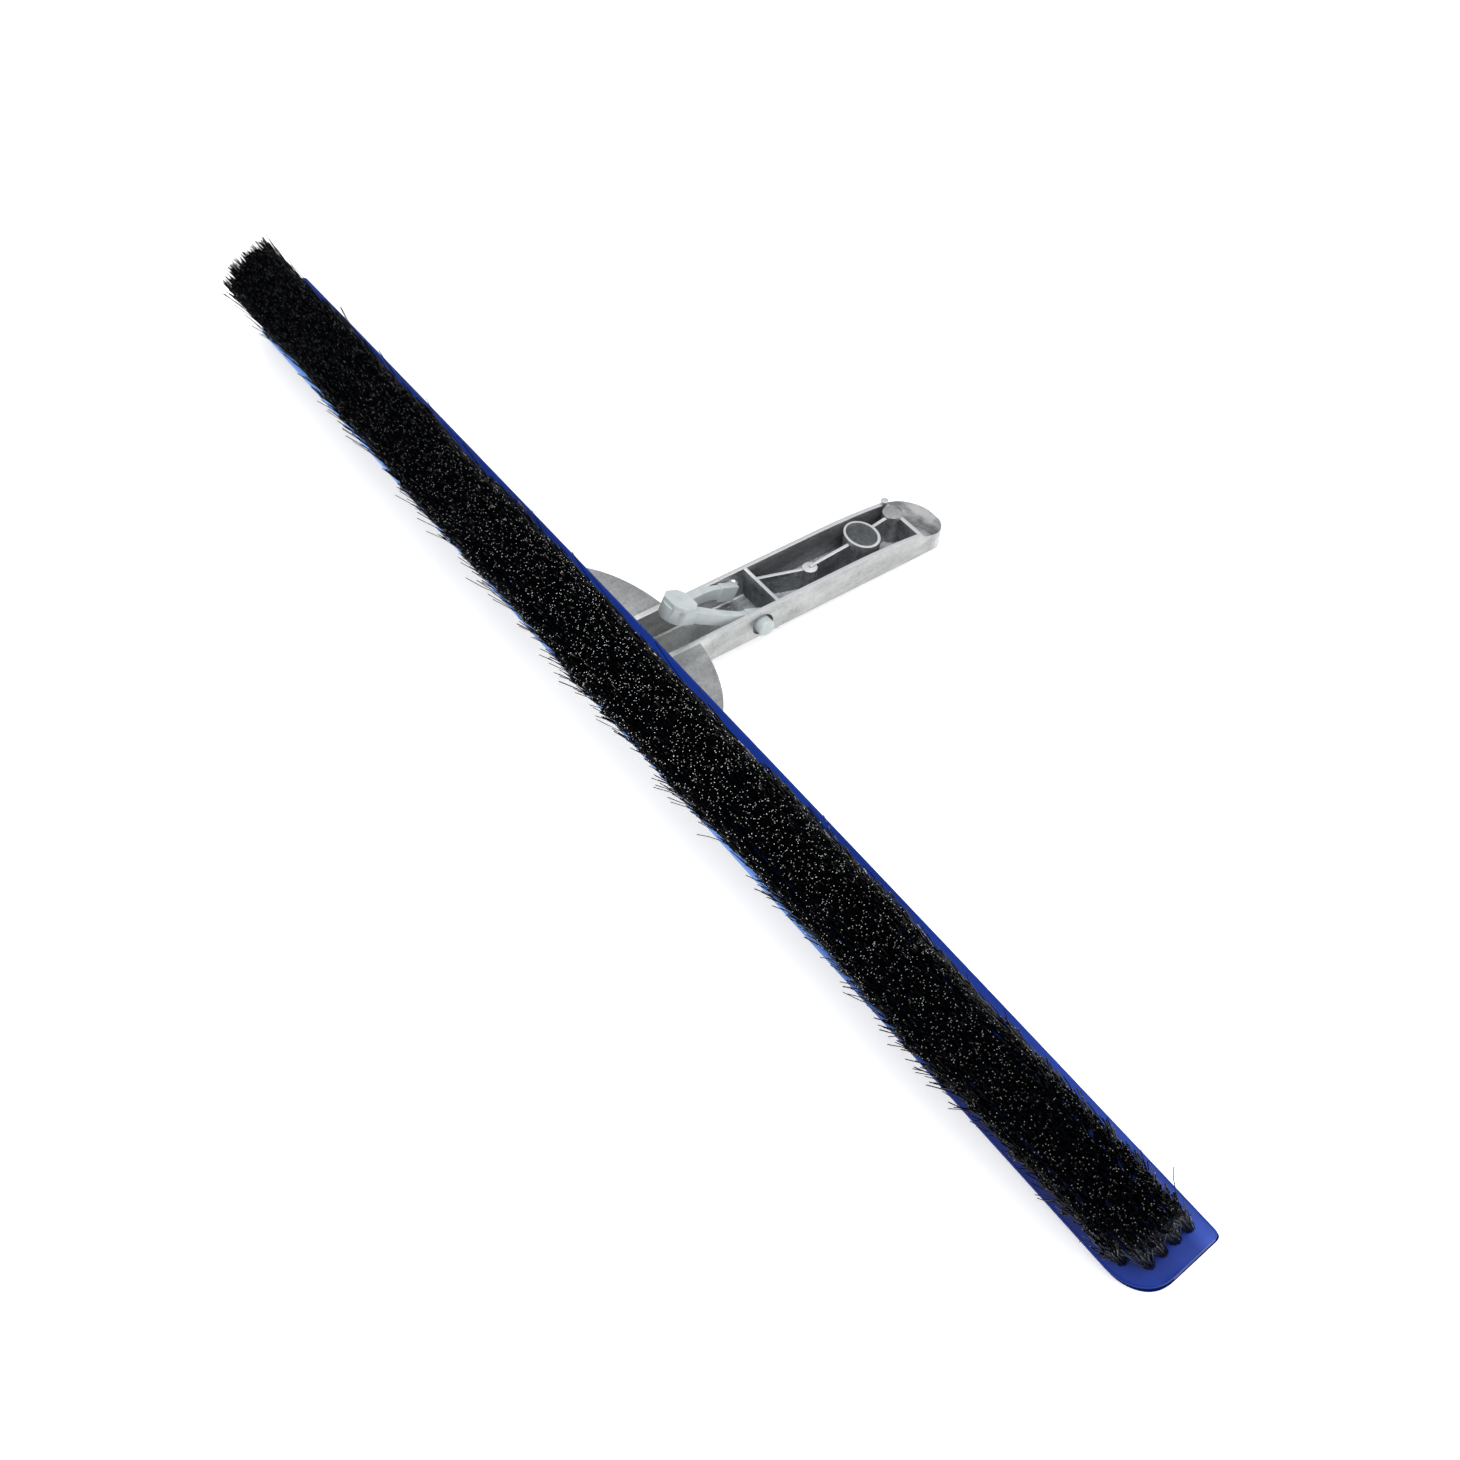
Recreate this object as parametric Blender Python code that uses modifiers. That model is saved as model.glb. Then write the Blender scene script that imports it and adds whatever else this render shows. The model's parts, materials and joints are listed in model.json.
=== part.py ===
"""Pool wall brush, 610 mm wide, with a cast handle and a spring clip for a telescopic pole.

The brush lies on its back, bristles up: the ends of its bowed block and the tip of its
handle touch the ground. X runs along the block and +Y points towards the handle's tip.
The parts are drawn in two local frames. The brush frame has its origin on the middle of
the block's bristle face, with +Z along the bristles. The handle frame starts at the
block's back edge, with +Y along the handle and +Z out of its open side.
"""
import math

import bmesh
import bpy
from mathutils import Matrix, Vector

# Driving dimensions, in metres and degrees.
BLOCK_LENGTH = 0.610
BLOCK_WIDTH = 0.0335
BLOCK_THICKNESS = 0.009
BLOCK_BOW = 0.019            # how far the ends bend back behind the middle
SWEEP_ALONG = 0.016          # the big rounded corners on the side away from the handle
SWEEP_ACROSS = 0.0134
CORNER_RADIUS = 0.002        # the small corners on the handle's side
EDGE_ROUND = 0.0012
END_ROUND = 0.005            # the back curves up to the bristle face over the last bit of each end
SEAT_HALF_LENGTH = 0.062     # flat seat for the handle on the block's back

BRISTLE_LENGTH = 0.037
ROW_COUNT = 5
ROW_PITCH = 0.0056
ROW_ROOT_WIDTH = 0.0044
ROW_TIP_SPREAD = 1.08        # row pitch at the tips over row pitch at the roots
END_TUFT_INSET = 0.007       # from the block's end to the last tuft
SWEPT_TUFT_INSET = 0.0136    # the same in the row beside the rounded corners
TUFT_ROOT_RADIUS = 0.0021
TUFT_TIP_RADIUS = 0.0027
END_TUFT_LEAN = 2.0          # lean of the last tufts towards the middle

HANDLE_TILT = 25.9           # handle against block
HANDLE_WIDTH = 0.026
HANDLE_DEPTH = 0.0162
HANDLE_LENGTH = 0.1457       # from the block's edge to the tip
WALL = 0.002
HANDLE_CORNER = 0.004
POCKET_CORNER = 0.0015
POCKET_END = 0.1262
RIM_FALL = 0.0024            # the channel's rims come down this far towards the tip
RIM_FALL_FROM = 0.092
RING_CENTRE = (-0.0008, 0.1060)
RING_SIZE = (0.0088, 0.0070)   # the oval ring's half sizes in x and y
RING_WALL = 0.0011
FLANGE_THICKNESS = 0.003
FLANGE_HALF_LENGTH = 0.057
FLANGE_REACH = 0.0148        # how far the flange shows beyond the block
FLANGE_HALF_WIDTH = 0.032
FOOT_WIDTH = 0.026           # flat half of the flange, measured from the block's edge
FOOT_HALF_LENGTH = 0.0475
CROSSBAR_AT = 0.0534
RIB_THICKNESS = 0.0015
BUTTON_AT = 0.045
BUTTON_DEPTH = 0.0076
BUTTON_HOLE_RADIUS = 0.005
SCREW_PLACES = ((-0.037, 0.007), (-0.022, -0.003), (0.022, -0.003), (0.037, 0.007))
SCREW_RADIUS = 0.0019
SCREW_HEAD_RADIUS = 0.004

CLIP_TILT = 24.0             # the clip's nose stands this far out of the channel
CLIP_LENGTH = 0.0435         # from the buttons to the nose's front
CLIP_LOW = -0.0018           # the clip's strip, below and above the buttons' axis
CLIP_HIGH = 0.0035
NOSE_RADIUS = 0.0066
NOSE_LENGTH = 0.0116
ARM_THICKNESS = 0.0024
ARM_ROOT_THICKNESS = 0.0050
ARM_ROOT_X = 0.0058          # the arm's outer side where it leaves the nose
ARM_BLOCK = (-0.0078, 0.0012) # the end block along the arm, either side of the button
ARM_BLOCK_THICKNESS = 0.0034
ARM_BLOCK_LOW = -0.0029
ARM_BLOCK_HIGH = 0.0041
BUTTON_RADIUS = 0.0037
BUTTON_REACH = 0.0162        # from the handle's centre plane to the button's end
PAD_SIZE = (0.0130, 0.0118)
PAD_THICKNESS = 0.0022

GAP = 0.0003                 # between parts that touch
HALF = BLOCK_LENGTH / 2
SEAT_Z = -BLOCK_THICKNESS + 0.0002
FLANGE_TOP = SEAT_Z - GAP

COLOURS = {
    "block_blue": ((0.012, 0.035, 0.36), 0.28, 0.0),
    "bristle_black": ((0.008, 0.008, 0.009), 0.5, 0.0),
    "cast_aluminium": ((0.42, 0.43, 0.44), 0.42, 0.9),
    "clip_white": ((0.62, 0.66, 0.66), 0.35, 0.0),
    "screw_steel": ((0.55, 0.55, 0.56), 0.3, 1.0),
}


# ---------------------------------------------------------------- scene and helpers

def clear_scene():
    for old in list(bpy.data.objects):
        bpy.data.objects.remove(old, do_unlink=True)


def new_collection(name):
    collection = bpy.data.collections.new(name)
    bpy.context.scene.collection.children.link(collection)
    return collection


clear_scene()
PARTS = new_collection("pool_wall_brush")
CUTTERS = new_collection("cutters")


def make_material(name):
    colour, roughness, metallic = COLOURS[name]
    material = bpy.data.materials.new(name)
    material.use_nodes = True
    shader = material.node_tree.nodes["Principled BSDF"]
    shader.inputs["Base Color"].default_value = (*colour, 1.0)
    shader.inputs["Roughness"].default_value = roughness
    shader.inputs["Metallic"].default_value = metallic
    return material


def place(obj, parent, location=(0, 0, 0), rotation=(0, 0, 0)):
    obj.parent = parent
    obj.location = location
    obj.rotation_euler = rotation
    return obj


def new_frame(name, parent=None, location=(0, 0, 0), rotation=(0, 0, 0)):
    empty = bpy.data.objects.new(name, None)
    empty.empty_display_size = 0.02
    PARTS.objects.link(empty)
    return place(empty, parent, location, rotation)


def new_part(name, mesh, material, parent, location=(0, 0, 0), rotation=(0, 0, 0)):
    obj = bpy.data.objects.new(name, mesh)
    PARTS.objects.link(obj)
    mesh.materials.append(make_material(material))
    mesh.shade_smooth()
    mesh.set_sharp_from_angle(angle=math.radians(30))
    return place(obj, parent, location, rotation)


def new_helper(name, mesh, parent, location=(0, 0, 0), rotation=(0, 0, 0)):
    obj = bpy.data.objects.new(name, mesh)
    CUTTERS.objects.link(obj)
    obj.hide_render = True
    obj.display_type = 'WIRE'
    return place(obj, parent, location, rotation)


def combine(obj, helper, operation):
    modifier = obj.modifiers.new(operation.lower() + "_" + helper.name, 'BOOLEAN')
    modifier.operation = operation
    modifier.solver = 'EXACT'
    modifier.object = helper


def finish_mesh(name, bm):
    bmesh.ops.recalc_face_normals(bm, faces=bm.faces)
    mesh = bpy.data.meshes.new(name)
    bm.to_mesh(mesh)
    bm.free()
    return mesh


def slab(name, outline, low, high):
    """A flat outline in XY, filled and thickened from low to high along Z."""
    curve = bpy.data.curves.new(name, 'CURVE')
    curve.dimensions = '2D'
    curve.fill_mode = 'BOTH'
    curve.extrude = (high - low) / 2
    spline = curve.splines.new('POLY')
    spline.points.add(len(outline) - 1)
    for point, (x, y) in zip(spline.points, outline):
        point.co = (x, y, 0, 1)
    spline.use_cyclic_u = True
    guide = bpy.data.objects.new(name, curve)
    bpy.context.scene.collection.objects.link(guide)
    evaluated = guide.evaluated_get(bpy.context.evaluated_depsgraph_get())
    mesh = bpy.data.meshes.new_from_object(evaluated)
    bpy.data.objects.remove(guide)
    bm = bmesh.new()
    bm.from_mesh(mesh)
    bmesh.ops.remove_doubles(bm, verts=bm.verts, dist=1e-6)
    bmesh.ops.translate(bm, verts=bm.verts, vec=(0, 0, (high + low) / 2))
    bpy.data.meshes.remove(mesh)
    return finish_mesh(name, bm)


def box(name, low, high):
    bm = bmesh.new()
    bmesh.ops.create_cube(bm, size=1.0)
    size = Vector(high) - Vector(low)
    bmesh.ops.scale(bm, vec=size, verts=bm.verts)
    bmesh.ops.translate(bm, vec=Vector(low) + size / 2, verts=bm.verts)
    return finish_mesh(name, bm)


def cylinder(name, radius, low, high, centre=(0, 0), sides=24, top_radius=None):
    """An upright cylinder or cone from z = low to z = high."""
    bm = bmesh.new()
    bmesh.ops.create_cone(bm, cap_ends=True, segments=sides, radius1=radius,
                          radius2=top_radius or radius, depth=high - low)
    bmesh.ops.translate(bm, vec=(*centre, (high + low) / 2), verts=bm.verts)
    return finish_mesh(name, bm)


def loft(name, rings):
    """A closed skin over rings that have the same number of points, with flat ends."""
    bm = bmesh.new()
    rows = [[bm.verts.new(point) for point in ring] for ring in rings]
    count = len(rows[0])
    for one, two in zip(rows, rows[1:]):
        for i in range(count):
            j = (i + 1) % count
            bm.faces.new((one[i], one[j], two[j], two[i]))
    bm.faces.new(rows[0])
    bm.faces.new(rows[-1])
    return finish_mesh(name, bm)


def arc(centre, radius, start, end, steps):
    """Points on a circle or an ellipse, from one angle to another in degrees."""
    rx, ry = radius if isinstance(radius, tuple) else (radius, radius)
    angles = [math.radians(start + (end - start) * i / steps) for i in range(steps + 1)]
    return [(centre[0] + rx * math.cos(a), centre[1] + ry * math.sin(a)) for a in angles]


# ---------------------------------------------------------------- block and bristles

def face_z(x):
    """Height of the block's bowed bristle face."""
    return -BLOCK_BOW * (x / HALF) ** 2


def block_sides(x):
    """The two long edges' Y at x, with the swept corners and the small ones."""
    low, high = -BLOCK_WIDTH / 2, BLOCK_WIDTH / 2
    into_sweep = (abs(x) - (HALF - SWEEP_ALONG)) / SWEEP_ALONG
    if into_sweep > 0:
        low += SWEEP_ACROSS * (1 - math.sqrt(max(0, 1 - into_sweep ** 2)))
    into_corner = (abs(x) - (HALF - CORNER_RADIUS)) / CORNER_RADIUS
    if into_corner > 0:
        high -= CORNER_RADIUS * (1 - math.sqrt(max(0, 1 - into_corner ** 2)))
    return low, high


def block_stations():
    """X of the block's sections: even along it, closer round the corners."""
    straight = HALF - SWEEP_ALONG
    inner = [straight * i / 10 for i in range(10)]
    sweep = [straight + SWEEP_ALONG * math.sin(math.radians(a)) for a in range(0, 75, 15)]
    corner = [HALF - CORNER_RADIUS * (1 - math.sin(math.radians(a))) for a in (0, 30, 60, 90)]
    right = inner + sweep + corner
    return [-x for x in reversed(right[1:])] + right


def block_ring(x):
    low, high = block_sides(x)
    into_end = max(0, (abs(x) - (HALF - END_ROUND)) / END_ROUND)
    rise = END_ROUND * (1 - math.sqrt(max(0, 1 - into_end ** 2)))
    top, bottom, r = face_z(x), face_z(x) - BLOCK_THICKNESS + rise, EDGE_ROUND
    outline = (arc((high - r, top - r), r, 0, 90, 3) + arc((low + r, top - r), r, 90, 180, 3)
               + arc((low + r, bottom + r), r, 180, 270, 3) + arc((high - r, bottom + r), r, 270, 360, 3))
    return [(x, y, z) for y, z in outline]


def make_block(brush):
    block = new_part("brush_block", loft("brush_block", [block_ring(x) for x in block_stations()]),
                     "block_blue", brush)
    seat = box("handle_seat", (-SEAT_HALF_LENGTH, -BLOCK_WIDTH, -2 * BLOCK_THICKNESS),
               (SEAT_HALF_LENGTH, BLOCK_WIDTH, SEAT_Z))
    combine(block, new_helper("handle_seat", seat, brush), 'DIFFERENCE')
    for number, (x, y) in enumerate(SCREW_PLACES, 1):
        pilot = cylinder("pilot", SCREW_RADIUS + GAP, -0.02, -0.0022, (x, y), 16)
        combine(block, new_helper(f"pilot_{number}", pilot, brush), 'DIFFERENCE')
    return block


def row_y(row):
    return (row - (ROW_COUNT - 1) / 2) * ROW_PITCH


def end_tuft_x(row):
    return HALF - (SWEPT_TUFT_INSET if row == 0 else END_TUFT_INSET)


def make_bristle_row(row, brush):
    """One row of tufts as a strip that follows the bow and opens towards the tips."""
    y = row_y(row)
    reach = end_tuft_x(row) - TUFT_ROOT_RADIUS - 0.0032
    rings = []
    for i in range(-12, 13):
        x = reach * i / 12
        root_z = face_z(x) + GAP
        tip_z = face_z(x) + BRISTLE_LENGTH
        half_root = ROW_ROOT_WIDTH / 2
        half_tip = half_root * ROW_TIP_SPREAD
        rings.append([(x, y - half_root, root_z), (x, y + half_root, root_z),
                      (x, y * ROW_TIP_SPREAD + half_tip, tip_z), (x, y * ROW_TIP_SPREAD - half_tip, tip_z)])
    name = f"bristle_row_{row + 1}"
    new_part(name, loft(name, rings), "bristle_black", brush)


def make_end_tuft(row, side, brush):
    """The last tuft of a row, which stands alone and leans towards the middle."""
    x = side * end_tuft_x(row)
    lean = -side * math.radians(END_TUFT_LEAN)
    spread = math.atan2(row_y(row) * (ROW_TIP_SPREAD - 1), BRISTLE_LENGTH)
    name = f"end_tuft_{'near' if side > 0 else 'far'}_{row + 1}"
    mesh = cylinder(name, TUFT_ROOT_RADIUS, 0, BRISTLE_LENGTH - 2 * GAP, sides=12,
                    top_radius=TUFT_TIP_RADIUS)
    slope_drop = TUFT_ROOT_RADIUS * 2 * BLOCK_BOW / HALF
    root = (x, row_y(row), face_z(x) + GAP + slope_drop)
    new_part(name, mesh, "bristle_black", brush, root, (-spread, lean, 0))


# ---------------------------------------------------------------- handle

def channel_outline(half_width, depth, corner, top):
    """A U section in x and z, open side up."""
    left = arc((-half_width + corner, -depth + corner), corner, 180, 270, 4)
    right = arc((half_width - corner, -depth + corner), corner, 270, 360, 4)
    return [(-half_width, top)] + left + right + [(half_width, top)]


def along_y(start, end):
    """Place for a slab drawn in x and z and thickened from y = start to y = end."""
    return {"location": (0, (start + end) / 2, 0), "rotation": (math.pi / 2, 0, 0)}


def handle_side_outline():
    """The handle from the side, in y and z: wedge under the block, rims, sloping tip."""
    tilt = math.radians(HANDLE_TILT)
    wedge = (-FOOT_WIDTH * math.cos(tilt), -FOOT_WIDTH * math.sin(tilt))
    drop = HANDLE_DEPTH + 0.001 + wedge[1]
    heel = (wedge[0] + drop * math.tan(tilt), wedge[1] - drop)
    slope_start = POCKET_END + WALL
    run = slope_start - RIM_FALL_FROM
    rims = [(RIM_FALL_FROM + run * i / 4, -RIM_FALL * (i / 4) ** 2) for i in range(5)]
    round_y, round_z = 0.0097, 0.0057
    tip = arc((HANDLE_LENGTH - round_y, -HANDLE_DEPTH + round_z), (round_y, round_z), 20, -90, 7)
    return ([heel, wedge, (0, 0)] + rims + [(slope_start + 0.0006, -RIM_FALL - 0.001)] + tip
            + [(0, heel[1])])


def handle_plan_outline():
    """The handle from its open side, in x and y, with the rounded tip."""
    half = HANDLE_WIDTH / 2 + 0.001
    radius = (HANDLE_WIDTH / 2, 0.0138)
    tip = arc((0, HANDLE_LENGTH - radius[1]), radius, 0, 180, 14)
    shoulder = HANDLE_LENGTH - 0.0153
    return [(half, -0.04), (half, shoulder)] + tip + [(-half, shoulder), (-half, -0.04)]


def flange_outline(centre_y, low_y):
    """The oval flange in x and y, cut off straight at low_y."""
    radius = (FLANGE_HALF_LENGTH, FLANGE_HALF_WIDTH)
    start = math.degrees(math.asin((low_y - centre_y) / radius[1]))
    return arc((0, centre_y), radius, start, 180 - start, 24)


def make_handle_body(brush, handle):
    """The U channel with its tip, and the flange in two flat halves that meet at the block's edge."""
    length = HANDLE_LENGTH + 0.04
    section = channel_outline(HANDLE_WIDTH / 2, HANDLE_DEPTH, HANDLE_CORNER, 0.001)
    mesh = slab("handle_casting", section, -length / 2, length / 2)
    mesh.transform(Matrix.Translation((0, length / 2 - 0.04, 0)) @ Matrix.Rotation(math.pi / 2, 4, 'X'))
    body = new_part("handle_casting", mesh, "cast_aluminium", handle)
    side = slab("handle_side", handle_side_outline(), -HANDLE_WIDTH, HANDLE_WIDTH)
    side.transform(Matrix(((0, 0, 1, 0), (1, 0, 0, 0), (0, 1, 0, 0), (0, 0, 0, 1))))
    combine(body, new_helper("handle_side", side, handle), 'INTERSECT')
    plan = slab("handle_plan", handle_plan_outline(), -2 * HANDLE_DEPTH, HANDLE_DEPTH)
    combine(body, new_helper("handle_plan", plan, handle), 'INTERSECT')
    reach = FLANGE_REACH - FLANGE_HALF_WIDTH
    lip = slab("flange_lip", flange_outline(reach, -0.0002), -FLANGE_THICKNESS, 0)
    combine(body, new_helper("flange_lip", lip, handle), 'UNION')
    foot = slab("flange_foot", flange_foot_outline(), FLANGE_TOP - FLANGE_THICKNESS, FLANGE_TOP)
    combine(body, new_helper("flange_foot", foot, brush), 'UNION')
    return body


def flange_foot_outline():
    """The flat half of the flange under the block, in x and y."""
    top = BLOCK_WIDTH / 2
    half, corner = FOOT_HALF_LENGTH, 0.014
    low = top - FOOT_WIDTH
    return ([(half, top)] + arc((half - corner, low + corner), corner, 0, -90, 6)
            + arc((-half + corner, low + corner), corner, -90, -180, 6) + [(-half, top)])


def cut_pocket(body, handle):
    """Hollow the channel out from under the block to the end rib."""
    start, end = -0.016, POCKET_END
    section = channel_outline(HANDLE_WIDTH / 2 - WALL, HANDLE_DEPTH - WALL, POCKET_CORNER, 0.006)
    mesh = slab("channel_pocket", section, (start - end) / 2, (end - start) / 2)
    combine(body, new_helper("channel_pocket", mesh, handle, **along_y(start, end)), 'DIFFERENCE')
    side = slab("button_hole", arc((0, 0), BUTTON_HOLE_RADIUS, 0, 345, 23), -HANDLE_WIDTH, HANDLE_WIDTH)
    combine(body, new_helper("button_hole", side, handle, (0, BUTTON_AT, -BUTTON_DEPTH),
                             (0, math.pi / 2, 0)), 'DIFFERENCE')


def floor_box(name, start, end, top):
    """A thin rib that stands on the channel's floor between two points in x and y."""
    start, end = Vector(start), Vector(end)
    run = end - start
    mesh = box(name, (0, -RIB_THICKNESS / 2, -HANDLE_DEPTH + WALL / 2), (run.length, RIB_THICKNESS / 2, top))
    mesh.transform(Matrix.Translation((*start, 0)) @ Matrix.Rotation(math.atan2(run.y, run.x), 4, 'Z'))
    return mesh


def oval(name, size, low, high, centre):
    """An upright oval post; size is its half sizes in x and y."""
    mesh = cylinder(name, size[1], low, high, sides=32)
    mesh.transform(Matrix.Translation((*centre, 0)) @ Matrix.Diagonal((size[0] / size[1], 1, 1, 1)))
    return mesh


def add_ribs(body, handle):
    """Cross-rib, zigzag centre ribs, bosses and the open ring inside the channel."""
    inside = HANDLE_WIDTH / 2 - WALL / 2
    low = -HANDLE_DEPTH + WALL / 2
    ring, boss = RING_CENTRE, (0.0004, 0.078)
    disc, knob = (-0.0043, POCKET_END - 0.0011), (-HANDLE_WIDTH / 2 + 0.0014, POCKET_END + 0.0005)
    pieces = {
        "cross_rib": box("cross_rib", (-inside, CROSSBAR_AT - RIB_THICKNESS / 2, low),
                         (inside, CROSSBAR_AT + RIB_THICKNESS / 2, -0.0002)),
        "rib_at_cross": floor_box("rib_at_cross", (-0.008, CROSSBAR_AT), boss, -0.004),
        "rib_to_ring": floor_box("rib_to_ring", boss, (-0.001, ring[1] - RING_SIZE[1] + 0.0006), -0.003),
        "rib_to_disc": floor_box("rib_to_disc", (-0.0026, ring[1] + RING_SIZE[1] - 0.0012), disc, -0.0016),
        "small_boss": cylinder("small_boss", 0.0032, low, -0.0036, boss, 16),
        "ring_boss": oval("ring_boss", RING_SIZE, low, -0.0008, ring),
        "disc_boss": cylinder("disc_boss", 0.0042, low, -0.0006, disc, 20),
        "rim_knob": cylinder("rim_knob", 0.0017, low, -0.0002, knob, 12),
    }
    for name, mesh in pieces.items():
        combine(body, new_helper(name, mesh, handle), 'UNION')
    inner = (RING_SIZE[0] - RING_WALL, RING_SIZE[1] - RING_WALL)
    well = oval("ring_well", inner, -HANDLE_DEPTH + WALL + 0.0006, 0.005, (ring[0] - 0.0002, ring[1]))
    combine(body, new_helper("ring_well", well, handle), 'DIFFERENCE')


def make_handle(brush, handle):
    body = make_handle_body(brush, handle)
    cut_pocket(body, handle)
    add_ribs(body, handle)
    for number, (x, y) in enumerate(SCREW_PLACES, 1):
        hole = cylinder("screw_hole", SCREW_RADIUS + GAP, FLANGE_TOP - 0.02, 0, (x, y), 16)
        combine(body, new_helper(f"screw_hole_{number}", hole, brush), 'DIFFERENCE')
    return body


def make_screw(number, x, y, brush):
    """A pan-head screw as one turned profile with a cross slot, head behind the flange."""
    seat = FLANGE_TOP - FLANGE_THICKNESS - GAP
    r, head, depth = SCREW_RADIUS, SCREW_HEAD_RADIUS, 0.0024
    dome = [(head * math.cos(math.radians(a)), seat - depth * (0.35 + 0.65 * math.sin(math.radians(a))))
            for a in range(0, 90, 18)]
    shank = [(0, -0.0028), (r * 0.6, -0.0032), (r, -0.0046), (r, seat), (head, seat)]
    profile = shank + dome + [(0, seat - depth)]
    bm = bmesh.new()
    verts = [bm.verts.new((px, 0, pz)) for px, pz in profile]
    for one, two in zip(verts, verts[1:]):
        bm.edges.new((one, two))
    mesh = bpy.data.meshes.new("handle_screw")
    bm.to_mesh(mesh)
    bm.free()
    screw = new_part(f"handle_screw_{number}", mesh, "screw_steel", brush, (x, y, 0))
    turn = screw.modifiers.new("turn", 'SCREW')
    turn.steps = turn.render_steps = 20
    turn.use_merge_vertices = True
    turn.merge_threshold = 0.00001
    for slot in range(2):
        bar = box("driver_slot", (-0.0021, -0.00045, seat - depth - 0.001),
                  (0.0021, 0.00045, seat - depth + 0.0012))
        turned = new_helper(f"driver_slot_{number}_{slot}", bar, brush, (x, y, 0),
                            (0, 0, math.radians(20 + 37 * number + 90 * slot)))
        combine(screw, turned, 'DIFFERENCE')


# ---------------------------------------------------------------- spring clip

def make_nose(clip):
    """The clip's bend, with the raised thumb pad on top."""
    front = -CLIP_LENGTH + NOSE_RADIUS
    outline = arc((0, front), NOSE_RADIUS, 180, 360, 14)
    outline += [(NOSE_RADIUS, -CLIP_LENGTH + NOSE_LENGTH), (-NOSE_RADIUS, -CLIP_LENGTH + NOSE_LENGTH)]
    pad_low = CLIP_HIGH + GAP
    nose = new_part("clip_nose", slab("clip_nose", outline, CLIP_LOW, pad_low + 0.0003),
                    "clip_white", clip)
    half_x, half_y, cut = PAD_SIZE[0] / 2, PAD_SIZE[1] / 2, 0.003
    centre = -CLIP_LENGTH + 0.0069
    right = [(half_x - cut, -half_y), (half_x, -half_y + cut), (half_x, half_y - cut), (half_x - cut, half_y)]
    corners = right + [(-x, -y) for x, y in right]
    pad = slab("thumb_pad", [(x, y + centre) for x, y in corners], pad_low, pad_low + PAD_THICKNESS)
    combine(nose, new_helper("thumb_pad", pad, clip), 'UNION')


def arm_outline(side):
    """The flat spring arm from above: a strip that bows outwards, then the end block."""
    root_y, end_y = -CLIP_LENGTH + NOSE_LENGTH + GAP, ARM_BLOCK[0]
    root_x, end_x = ARM_ROOT_X, HANDLE_WIDTH / 2 - WALL - 0.0004
    steps = 8
    outer, inner = [], []
    for i in range(steps + 1):
        t = i / steps
        bow = 0.0009 * math.sin(math.pi * t)
        x, y = root_x + (end_x - root_x) * t + bow, root_y + (end_y - root_y) * t
        outer.append((x, y))
        inner.append((x - ARM_ROOT_THICKNESS - (ARM_THICKNESS - ARM_ROOT_THICKNESS) * t, y))
    inside = end_x - ARM_BLOCK_THICKNESS
    block_end = ARM_BLOCK[1] - 0.0003
    block = [(end_x, block_end), (inside + 0.0002, block_end), (inside + 0.0002, end_y + 0.0004)]
    outline = outer + block + inner[-2::-1]
    return [(side * x, y) for x, y in outline][::side]


def make_arm(side, clip):
    """One arm, hinged where it leaves the nose, with its end block and button."""
    label = "right" if side > 0 else "left"
    inner_root = ARM_ROOT_X - ARM_ROOT_THICKNESS
    pivot = Vector((side * (inner_root + 0.0015), -CLIP_LENGTH + NOSE_LENGTH, 0))
    hinge = new_frame(f"{label}_arm_hinge", clip, pivot)
    outline = [(x - pivot.x, y - pivot.y) for x, y in arm_outline(side)]
    strip = slab("arm", outline, CLIP_LOW, CLIP_HIGH)
    arm = new_part(f"clip_{label}_arm", strip, "clip_white", hinge)
    end_x = HANDLE_WIDTH / 2 - WALL - 0.0004
    xs = sorted((side * (end_x - ARM_BLOCK_THICKNESS) - pivot.x, side * (end_x + 0.0001) - pivot.x))
    end_block = box("end_block", (xs[0], ARM_BLOCK[0] - pivot.y, ARM_BLOCK_LOW),
                    (xs[1], ARM_BLOCK[1] - pivot.y, ARM_BLOCK_HIGH))
    combine(arm, new_helper(f"{label}_end_block", end_block, hinge), 'UNION')
    r, low, reach = BUTTON_RADIUS, end_x - 0.001, BUTTON_REACH
    rim = arc((r - 0.0008, reach - 0.0008), 0.0008, 90, 0, 3)
    bm = bmesh.new()
    verts = [bm.verts.new((px, 0, pz)) for px, pz in [(0, reach)] + rim + [(r, low), (0, low)]]
    for one, two in zip(verts, verts[1:]):
        bm.edges.new((one, two))
    mesh = bpy.data.meshes.new("button")
    bm.to_mesh(mesh)
    bm.free()
    button = new_helper(f"{label}_button", mesh, hinge, -pivot, (0, side * math.pi / 2, 0))
    turn = button.modifiers.new("turn", 'SCREW')
    turn.steps = turn.render_steps = 24
    turn.use_merge_vertices = True
    turn.merge_threshold = 0.00001
    combine(arm, button, 'UNION')


# ---------------------------------------------------------------- rest pose

def world_points(obj):
    evaluated = obj.evaluated_get(bpy.context.evaluated_depsgraph_get())
    return [evaluated.matrix_world @ vertex.co for vertex in evaluated.data.vertices]


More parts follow.
